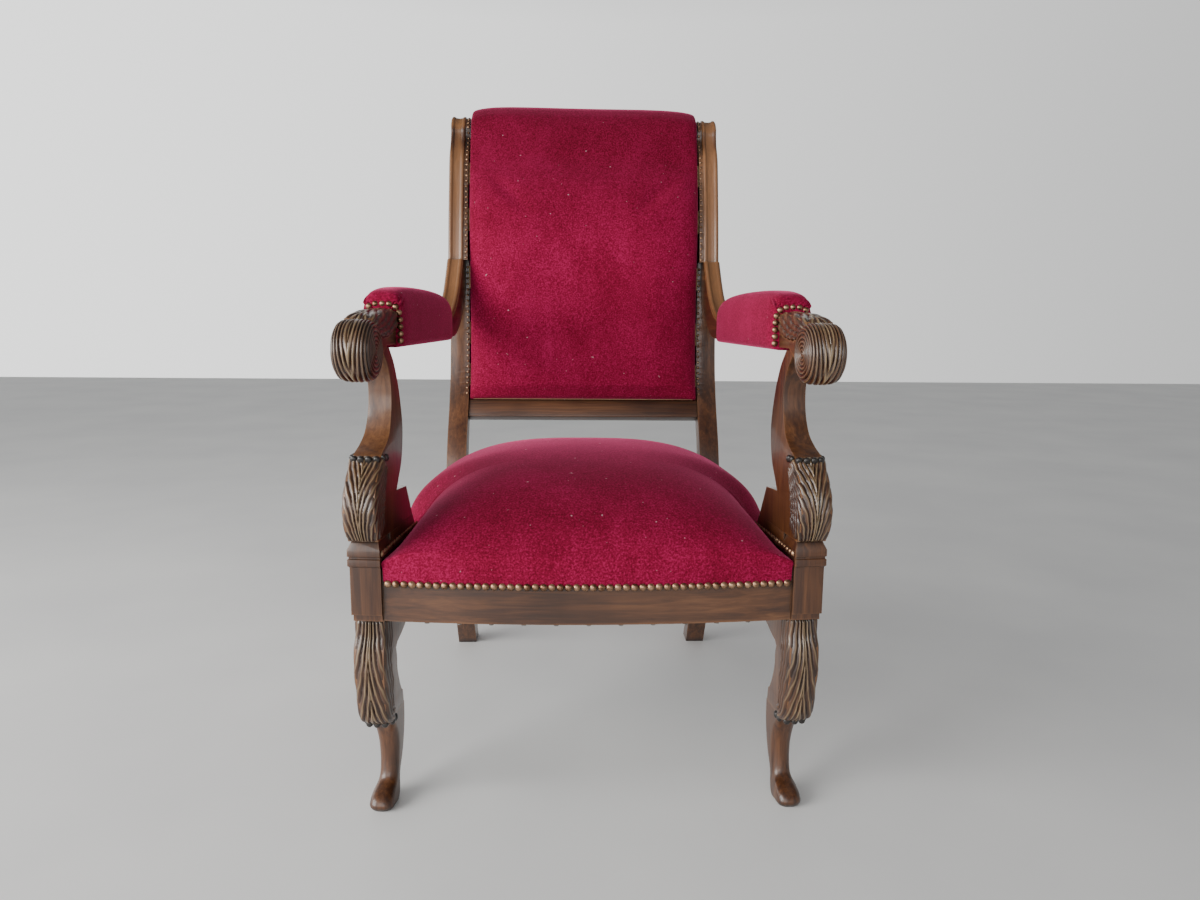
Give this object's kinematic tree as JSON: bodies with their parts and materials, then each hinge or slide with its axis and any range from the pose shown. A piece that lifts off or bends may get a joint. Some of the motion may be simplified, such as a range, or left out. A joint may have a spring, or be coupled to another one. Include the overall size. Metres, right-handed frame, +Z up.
{
  "type": "armchair",
  "caption": "Open wooden armchair with scrolled arms, carved front legs, sabre rear legs, a sprung velvet seat and a rolled, padded back.",
  "frame": {"origin": "centre of the chair's bounding box at floor level", "axes": "+Z up, -Y to the front of the chair, +X to the right seen from the front"},
  "size_m": [0.5832, 0.7388, 1.0011],
  "materials": {
    "frame_wood": "satin",
    "beech": "matte",
    "velvet": "matte",
    "brass": "satin",
    "steel": "satin",
    "jute": "matte",
    "stuffing": "matte",
    "lining": "matte"
  },
  "bodies": {
    "root": {"front_leg_left": "frame_wood", "front_leg_right": "frame_wood", "rear_post_left": "frame_wood", "rear_post_right": "frame_wood", "front_seat_rail": "frame_wood", "rear_seat_rail": "beech", "side_seat_rail_left": "frame_wood", "side_seat_rail_right": "frame_wood", "back_lower_rail": "frame_wood", "back_top_rail": "beech", "corner_block_front_left": "beech", "corner_block_front_right": "beech", "corner_block_rear_left": "beech", "corner_block_rear_right": "beech", "corner_block_screws": "steel", "arm_support_left": "frame_wood", "arm_support_right": "frame_wood", "arm_rail_left": "frame_wood", "arm_rail_right": "frame_wood", "support_dowels": "beech", "arm_dowels": "beech", "seat_webbing": "jute", "seat_springs": "steel", "spring_twine": "jute", "spring_cover": "jute", "seat_stuffing": "stuffing", "seat_cover": "velvet", "seat_nails": "brass", "seat_bottom_cloth": "lining", "seat_bottom_tacks": "steel", "back_webbing": "jute", "back_lining": "jute", "back_stuffing": "stuffing", "back_cover": "velvet", "outer_back_cover": "velvet", "back_nails": "brass", "outer_back_nails": "brass", "arm_stuffing_left": "stuffing", "arm_stuffing_right": "stuffing", "arm_cover_left": "velvet", "arm_cover_right": "velvet", "arm_nails_left": "brass", "arm_nails_right": "brass"}
  },
  "joints": []
}
